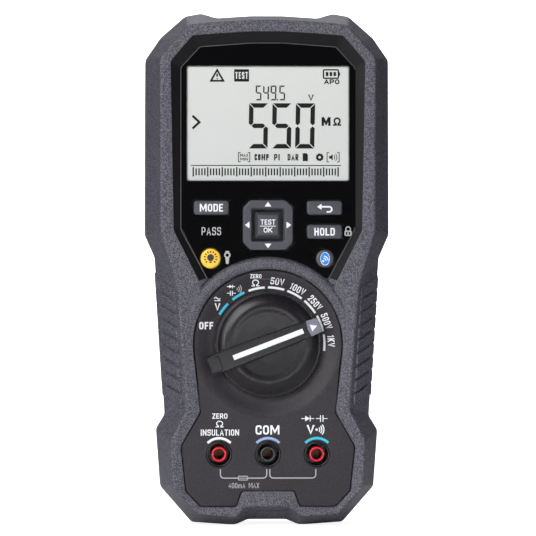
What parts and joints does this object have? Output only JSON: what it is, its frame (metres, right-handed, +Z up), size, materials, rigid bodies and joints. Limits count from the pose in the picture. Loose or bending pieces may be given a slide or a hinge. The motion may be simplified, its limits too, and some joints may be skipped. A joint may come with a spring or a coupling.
{
  "type": "insulation resistance tester",
  "caption": "Hand-held insulation resistance tester with a display, push keys, a rotary selector, input jacks for test leads, a battery door and a fold-out tilt stand.",
  "frame": {"origin": "centre of the base that the tester stands on", "axes": "+Z up along the case towards the display end, the face looks towards -Y, +X to the right of a person reading the display"},
  "size_m": [0.0956, 0.049, 0.2],
  "materials": {
    "rubber_skin": "fine speckled, satin, slightly raised grain",
    "shell_plastic": "fine matte mould texture",
    "seal_rubber": "smooth",
    "bezel_gloss": "piano gloss",
    "lens_clear": "clear hard-coated window",
    "panel_plastic": "fine matte grain with printed legends",
    "lcd_glass": "grey reflective liquid crystal cell",
    "white_plastic": "smooth moulded",
    "contact_rubber": "smooth",
    "keypad_rubber": "smooth silicone",
    "circuit_board": "green solder mask",
    "brass_metal": "plated, satin",
    "screw_steel": "plated",
    "light_pipe": "clear moulded",
    "bearing_plastic": "natural moulded",
    "jack_black": "moulded black",
    "jack_red": "moulded red",
    "jack_grey": "moulded dark grey",
    "fuse_ceramic": "glazed tube",
    "cell_wrap": "printed foil sleeve",
    "spring_steel": "nickel plated",
    "winding_tape": "taped winding on a core",
    "relay_white": "moulded",
    "capacitor_blue": "sleeved can",
    "chip_black": "moulded package",
    "shield_metal": "tinned shield can",
    "led_lens": "clear dome",
    "knob_plastic": "satin moulded",
    "pointer_grey": "metallic grey insert",
    "stripe_white": "inlaid white",
    "shaft_steel": "ground",
    "key_grey": "satin moulded with printed legend",
    "key_yellow": "satin translucent"
  },
  "bodies": {
    "case": {"front_overmould": "rubber_skin", "rear_overmould": "rubber_skin", "front_shell": "shell_plastic", "rear_shell": "shell_plastic", "case_gasket": "seal_rubber", "face_bezel": "bezel_gloss", "display_lens": "lens_clear", "lower_panel": "panel_plastic", "display_cell": "lcd_glass", "display_frame": "white_plastic", "backlight": "white_plastic", "contact_strips": "contact_rubber", "keypad_mat": "keypad_rubber", "main_board": "circuit_board", "power_board": "circuit_board", "board_spacers": "brass_metal", "board_screws": "screw_steel", "case_screws": "screw_steel", "pass_light_pipe": "light_pipe", "shaft_bushing": "bearing_plastic", "detent_spring": "spring_steel", "jack_housing": "jack_black", "insulation_sleeve": "jack_red", "common_sleeve": "jack_grey", "voltage_sleeve": "jack_red", "jack_contacts": "brass_metal", "fuse": "fuse_ceramic", "fuse_clips": "brass_metal", "battery_cells": "cell_wrap", "battery_contacts": "spring_steel", "hv_transformer": "winding_tape", "relays": "relay_white", "capacitors": "capacitor_blue", "main_chips": "chip_black", "wireless_module": "shield_metal", "buzzer": "chip_black", "light_window": "lens_clear", "light_leds": "led_lens", "door_gasket": "seal_rubber"},
    "selector": {"selector_knob": "knob_plastic", "knob_pointer": "pointer_grey", "knob_stripe": "stripe_white", "knob_shaft": "shaft_steel", "switch_rotor": "bearing_plastic", "wiper_contacts": "brass_metal", "shaft_clip": "spring_steel"},
    "mode_key": {"mode_key": "key_grey"},
    "return_key": {"return_key": "key_grey"},
    "hold_key": {"hold_key": "key_grey"},
    "test_key": {"test_key": "key_grey"},
    "light_key": {"light_key": "key_yellow"},
    "wireless_key": {"wireless_key": "key_grey"},
    "nav_carrier": {"nav_carrier": "bearing_plastic"},
    "nav_ring": {"nav_ring": "key_grey"},
    "battery_door": {"battery_door": "shell_plastic", "stand_axle": "shaft_steel"},
    "tilt_stand": {"tilt_stand": "shell_plastic"},
    "left_fastener": {"left_fastener": "screw_steel"},
    "right_fastener": {"right_fastener": "screw_steel"}
  },
  "joints": [
    {"name": "selector_turn", "type": "hinge", "parent": "case", "child": "selector", "pos_m": [0, -0.0214, 0.0708], "axis": [0, -1, 0], "range_deg": [-20, 140]},
    {"name": "mode_key_press", "type": "slide", "parent": "case", "child": "mode_key", "axis": [0, 1, 0], "range_m": [0, 0.0008], "stiffness_N_per_m": 450},
    {"name": "return_key_press", "type": "slide", "parent": "case", "child": "return_key", "axis": [0, 1, 0], "range_m": [0, 0.0008], "stiffness_N_per_m": 450},
    {"name": "hold_key_press", "type": "slide", "parent": "case", "child": "hold_key", "axis": [0, 1, 0], "range_m": [0, 0.0008], "stiffness_N_per_m": 450},
    {"name": "test_key_press", "type": "slide", "parent": "case", "child": "test_key", "axis": [0, 1, 0], "range_m": [0, 0.0008], "stiffness_N_per_m": 450},
    {"name": "light_key_press", "type": "slide", "parent": "case", "child": "light_key", "axis": [0, 1, 0], "range_m": [0, 0.0008], "stiffness_N_per_m": 450},
    {"name": "wireless_key_press", "type": "slide", "parent": "case", "child": "wireless_key", "axis": [0, 1, 0], "range_m": [0, 0.0008], "stiffness_N_per_m": 450},
    {"name": "nav_rock_sideways", "type": "hinge", "parent": "case", "child": "nav_carrier", "pos_m": [0, -0.0162, 0.1171], "axis": [0, 0, 1], "range_deg": [-2.5, 2.5], "stiffness_Nm_per_rad": 0.06},
    {"name": "nav_rock_updown", "type": "hinge", "parent": "nav_carrier", "child": "nav_ring", "pos_m": [0, -0.0162, 0.1171], "axis": [1, 0, 0], "range_deg": [-2.5, 2.5], "stiffness_Nm_per_rad": 0.06},
    {"name": "battery_door_lift", "type": "slide", "parent": "case", "child": "battery_door", "axis": [0, 1, 0], "range_m": [0, 0.04]},
    {"name": "tilt_stand_hinge", "type": "hinge", "parent": "battery_door", "child": "tilt_stand", "pos_m": [0, 0.0222, 0.112], "axis": [1, 0, 0], "range_deg": [0, 60]},
    {"name": "left_fastener_turn", "type": "hinge", "parent": "battery_door", "child": "left_fastener", "pos_m": [-0.0268, 0.021, 0.1], "axis": [0, 1, 0], "range_deg": [0, 90]},
    {"name": "right_fastener_turn", "type": "hinge", "parent": "battery_door", "child": "right_fastener", "pos_m": [0.0268, 0.021, 0.1], "axis": [0, 1, 0], "range_deg": [0, 90]}
  ]
}
